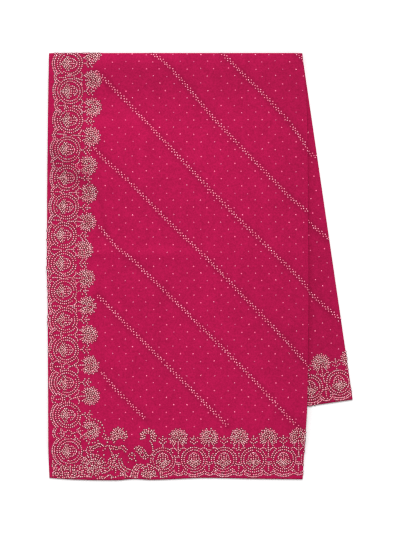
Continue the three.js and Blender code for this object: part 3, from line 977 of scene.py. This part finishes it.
# Painted shade: the same cloth as the front stretch, darker, for the back stretch and the hidden pile.
SHADED_FUCHSIA = (0.395, 0.0037, 0.058)
CLEAR_GLASS = ((0.97, 0.185, 0.30), (1.0, 0.43, 0.54))  # the deepest and palest tint of each
PINK_GLASS = ((0.95, 0.12, 0.26), (1.0, 0.26, 0.44))
ROSY_GLASS = ((0.62, 0.02, 0.15), (1.0, 0.09, 0.27))
CHAMPAGNE_GOLD = ((0.76, 0.225, 0.275), (1.0, 0.58, 0.605))
ROSY_GOLD = ((0.85, 0.13, 0.24), (1.0, 0.30, 0.43))
# Dark glue, darkened further as painted shade between the stones.
GLUE_AND_SHADE = ((0.100, 0.010, 0.018), (0.155, 0.014, 0.026))


def nodes_of(name):
    material = bpy.data.materials.new(name)
    material.use_nodes = True
    nodes = material.node_tree.nodes
    return material, nodes, nodes["Principled BSDF"]


def add(nodes, kind, **settings):
    """A node with its options and inputs set, each input under its name in small letters."""
    node = nodes.new("ShaderNode" + kind)
    for key, value in settings.items():
        if hasattr(node, key):
            setattr(node, key, value)
        else:
            node.inputs[key.replace("_", " ").title()].default_value = value
    return node


def join(source, output, target, socket):
    target.id_data.links.new(source.outputs[output], target.inputs[socket])


def settle(node, values):
    for name, value in values.items():
        node.inputs[name].default_value = value


def ramp(nodes, *stops):
    """A colour ramp through stops, each a place and a colour."""
    node = add(nodes, "ValToRGB")
    elements = node.color_ramp.elements
    for k, (place, color) in enumerate(stops):
        element = elements[k] if k < 2 else elements.new(place)
        element.position = place
        element.color = (*color, 1)
    return node


def paint_lit_and_shaded(nodes, shades, shader):
    """Colours the shader by a ramp, times the mesh's painted light and shade."""
    tone = add(nodes, "Attribute", attribute_name="tone", attribute_type="GEOMETRY")
    lit_and_shaded = add(nodes, "VectorMath", operation="SCALE")
    join(shades, "Color", lit_and_shaded, 0)
    join(tone, "Fac", lit_and_shaded, "Scale")
    join(lit_and_shaded, "Vector", shader, "Base Color")


def georgette(name, color, turn=0.0):
    """Fuchsia georgette: a soft mottle, a fine crinkled weave and a pale sheen."""
    material, nodes, shader = nodes_of(name)
    where = add(nodes, "TexCoord")
    turned = add(nodes, "Mapping", rotation=(0, 0, turn))
    join(where, "Object", turned, "Vector")
    slow = add(nodes, "TexNoise", scale=40.0, detail=3.0, roughness=0.75)
    mottle = add(nodes, "TexNoise", scale=260.0, detail=3.0, roughness=0.6)
    crepe = add(nodes, "TexNoise", scale=1100.0, detail=2.0)
    for texture in (slow, mottle, crepe):
        join(turned, "Vector", texture, "Vector")
    deep = tuple(0.82 * part for part in color)
    pale = (color[0] * 1.15, color[1] * 1.6, color[2] * 1.22)
    spread = ramp(nodes, (0.30, deep), (0.70, pale))
    both = add(nodes, "Math", operation="MULTIPLY_ADD")
    halved = add(nodes, "Math", operation="MULTIPLY_ADD")
    settle(both, {1: 0.9})
    settle(halved, {1: 0.45, 2: -0.175})
    join(slow, "Fac", halved, 0)
    join(mottle, "Fac", both, 0)
    join(halved, "Value", both, 2)
    join(both, "Value", spread, "Fac")
    paint_lit_and_shaded(nodes, spread, shader)
    warp = add(nodes, "TexWave", bands_direction="X", scale=700.0, distortion=1.5)
    weft = add(nodes, "TexWave", bands_direction="Y", scale=700.0, distortion=1.5)
    threads = add(nodes, "Math", operation="ADD")
    for k, texture in enumerate((warp, weft)):
        join(turned, "Vector", texture, "Vector")
        join(texture, "Fac", threads, k)
    weave = add(nodes, "Math", operation="ADD")
    join(threads, "Value", weave, 0)
    join(crepe, "Fac", weave, 1)
    bump = add(nodes, "Bump", strength=0.35, distance=0.00012)
    join(weave, "Value", bump, "Height")
    join(bump, "Normal", shader, "Normal")
    settle(shader, {"Roughness": 0.72, "Specular IOR Level": 0.08})
    settle(shader, {"Sheen Weight": 0.03, "Sheen Roughness": 0.45, "Sheen Tint": (1.0, 0.45, 0.62, 1)})
    return material


def stone_material(name, crystal, gold=CHAMPAGNE_GOLD):
    """Glued stones: crystals and gold ones, each from one colour to another."""
    material, nodes, shader = nodes_of(name)
    tint = add(nodes, "Attribute", attribute_name="tint", attribute_type="GEOMETRY")
    starts = (CRYSTAL, CRYSTAL + TINTS, GOLD, GOLD + TINTS)
    shades = ramp(nodes, *zip(starts, (*crystal, *gold)))
    join(tint, "Fac", shades, "Fac")
    paint_lit_and_shaded(nodes, shades, shader)
    settle(shader, {"Roughness": 0.26, "Specular IOR Level": 0.7})
    settle(shader, {"Coat Weight": 0.35, "Coat Roughness": 0.12})
    return material


def glue_and_shade_material():
    """The dark fillet round each stone: its glue, which wets the cloth dark, made darker still as painted
    shade between the stones.
    """
    material, nodes, shader = nodes_of("stone_glue")
    where = add(nodes, "TexCoord")
    noise = add(nodes, "TexNoise", scale=400.0, detail=2.0)
    shades = ramp(nodes, (0.3, GLUE_AND_SHADE[0]), (0.7, GLUE_AND_SHADE[1]))
    join(where, "Object", noise, "Vector")
    join(noise, "Fac", shades, "Fac")
    paint_lit_and_shaded(nodes, shades, shader)
    settle(shader, {"Roughness": 0.5, "Specular IOR Level": 0.15})
    return material


def floor_material():
    material, nodes, shader = nodes_of("floor_paint")
    noise = add(nodes, "TexNoise", scale=3.0, detail=2.0)
    tones = ramp(nodes, (0.3, (0.96, 0.96, 0.96)), (0.7, (0.98, 0.98, 0.98)))
    join(noise, "Fac", tones, "Fac")
    join(tones, "Color", shader, "Base Color")
    settle(shader, {"Roughness": 0.9, "Specular IOR Level": 0.1})
    return material


# ---- stage, light and camera
FRAME_PIXELS = (400, 533)
MM_PER_PIXEL = 2.25
PIXEL_ORIGIN = (199.9, 266.85)  # the picture place over the frame's origin
LENS = 100.0
SENSOR = 36.0
FACE_HEIGHT = 7.0  # the height at which a pixel is MM_PER_PIXEL
CLIP_END = 50  # metres
FLOOR = {"half": 4000, "z": -0.4}
WORLD_LIGHT = 0.57


def camera():
    data = bpy.data.cameras.new("camera")
    data.lens = LENS
    data.sensor_width = SENSOR
    view = bpy.data.objects.new("camera", data)
    distance = FRAME_PIXELS[1] * MM_PER_PIXEL / SENSOR * LENS + FACE_HEIGHT
    x = (FRAME_PIXELS[0] / 2 - PIXEL_ORIGIN[0]) * MM_PER_PIXEL
    y = (PIXEL_ORIGIN[1] - FRAME_PIXELS[1] / 2) * MM_PER_PIXEL
    view.location = Vector((x, y, distance)) * MM
    data.clip_end = CLIP_END
    bpy.context.scene.collection.objects.link(view)
    bpy.context.scene.camera = view


def lamp(name, azimuth, elevation, distance, size, power):
    """A round soft light that shines on the frame's origin from a direction, in degrees, azimuth 0 being +X
    and 90 being +Y, and from a distance in metres."""
    data = bpy.data.lights.new(name, "AREA")
    data.shape = "DISK"
    data.size = size
    data.energy = power
    light = bpy.data.objects.new(name, data)
    high, around = math.radians(elevation), math.radians(azimuth)
    flat = math.cos(high)
    toward = Vector((flat * math.cos(around), flat * math.sin(around), math.sin(high)))
    light.location = toward * distance
    light.rotation_euler = toward.to_track_quat("Z", "Y").to_euler()
    bpy.context.scene.collection.objects.link(light)


def stage():
    half, z = FLOOR["half"], FLOOR["z"]
    points = np.array(((-half, -half, z), (half, -half, z), (half, half, z), (-half, half, z)), float)
    floor = new_mesh("floor", points, [np.array([[0, 1, 2, 3]])])
    floor.data.materials.append(floor_material())
    world = bpy.data.worlds.new("studio")
    bpy.context.scene.world = world
    world.use_nodes = True
    settle(world.node_tree.nodes["Background"], {"Color": (1, 1, 1, 1), "Strength": WORLD_LIGHT})
    lamp("key", azimuth=90, elevation=48, distance=15.0, size=8.0, power=1700)
    lamp("side", azimuth=175, elevation=42, distance=2.2, size=1.2, power=4)
    bpy.context.scene.view_settings.view_transform = "Standard"
    bpy.context.scene.cycles.use_denoising = False  # it smears stones that are a pixel across
    bpy.context.scene.cycles.filter_width = 1.2


# ---- putting it together
def dress(piece, material):
    piece.data.materials.append(material)
    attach(piece, "root")
    return piece


def cloth_pieces():
    """The three shells, dressed in place of the frame's solids."""
    back_lines = [np.column_stack(back_place(*points_of(line).T)) for line in BACK_BANDS]
    # Each shell gets its painted light and shade; the hidden pile gets none.
    front = set_light_and_shade(front_cloth(), FRONT_PAINTED_LIGHT_AND_SHADE, [points_of(line) for line in BANDS])
    inner = set_light_and_shade(inner_cloth())
    back = set_light_and_shade(back_cloth(), BACK_PAINTED_SHADE, back_lines)
    dress(front, georgette("georgette_front", FUCHSIA))
    dress(inner, georgette("georgette_inner", SHADED_FUCHSIA))
    dress(back, georgette("georgette_back", SHADED_FUCHSIA, BACK_TURN))
    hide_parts("front_stretch")
    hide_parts("hidden_layers")
    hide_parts("back_stretch")
    return front, back


def front_stones():
    """The front stretch's stone work. Where the borders meet, the left one comes before the corner's own
    work, and that before the hem's."""
    left = spaced(border(LEFT_MEDALLIONS, 1), STONE_APART)
    meeting = clear_of(spaced(corner(), STONE_APART), left, STONE_APART)
    hem = clear_of(spaced(border(HEM_MEDALLIONS, 1), STONE_APART), meeting, STONE_APART)
    hem = clear_of(hem, np.array([HALF["centre"]]), HALF["reach"])
    bands = np.concatenate([band(line) for line in BANDS])
    singles = lattice(FRONT_SINGLES["from"], FRONT_SINGLES["to"])
    singles = clear_of(singles, np.concatenate((left, hem, meeting)), FRONT_SINGLES["off_border"])
    singles = clear_of(singles, bands, FRONT_SINGLES["off_band"])
    kinds = (  # name, stones, kind, uneven, lost
        ("left_border_stones", left, BORDER_STONE, 0.25, 0.03),
        ("hem_border_stones", hem, BORDER_STONE, 0.25, 0.03),
        ("corner_stones", meeting, BORDER_STONE, 0.5, 0.03),
        ("band_stones", bands, BAND_STONE, 0.5, 0.02),
        ("field_stones", singles, FIELD_STONE, 0.8, 0.02),
    )
    return [stones_piece(name, front_surface, *rest) for name, *rest in kinds]


def back_stones():
    hem = spaced(border(BACK_MEDALLIONS, -1), STONE_APART)
    bands = np.concatenate([band(line) for line in BACK_BANDS])
    singles = lattice(BACK_SINGLES["from"], BACK_SINGLES["to"])
    singles = clear_of(singles, np.concatenate((hem, bands)), BACK_SINGLES["off_work"])
    kinds = (  # name, stones, kind, uneven, lost
        ("back_border_stones", hem, BORDER_STONE, 0.25, 0.02),
        ("back_band_stones", bands, BAND_STONE, 0.5, 0.02),
        ("back_field_stones", singles, FIELD_STONE, 0.8, 0.02),
    )
    return [stones_piece(name, back_surface, *rest) for name, *rest in kinds]


def main():
    camera()
    stage()
    front, back = cloth_pieces()
    pieces, back_pieces = front_stones(), back_stones()
    glass = stone_material("stone_glass", CLEAR_GLASS)
    by_kind = {
        "band": stone_material("band_glass", PINK_GLASS, ROSY_GOLD),
        "field": stone_material("rosy_glass", ROSY_GLASS),
    }
    glue_and_shade = glue_and_shade_material()
    for piece in pieces + back_pieces:
        # The stones take the same painted light and shade as the cloth round them.
        set_light_and_shade(piece, FRONT_PAINTED_LIGHT_AND_SHADE if piece in pieces else BACK_PAINTED_SHADE)
        dress(piece, by_kind.get(piece.name.split("_")[-2], glass))
        piece.data.materials.append(glue_and_shade)
    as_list(pieces)
    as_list(back_pieces)


main()
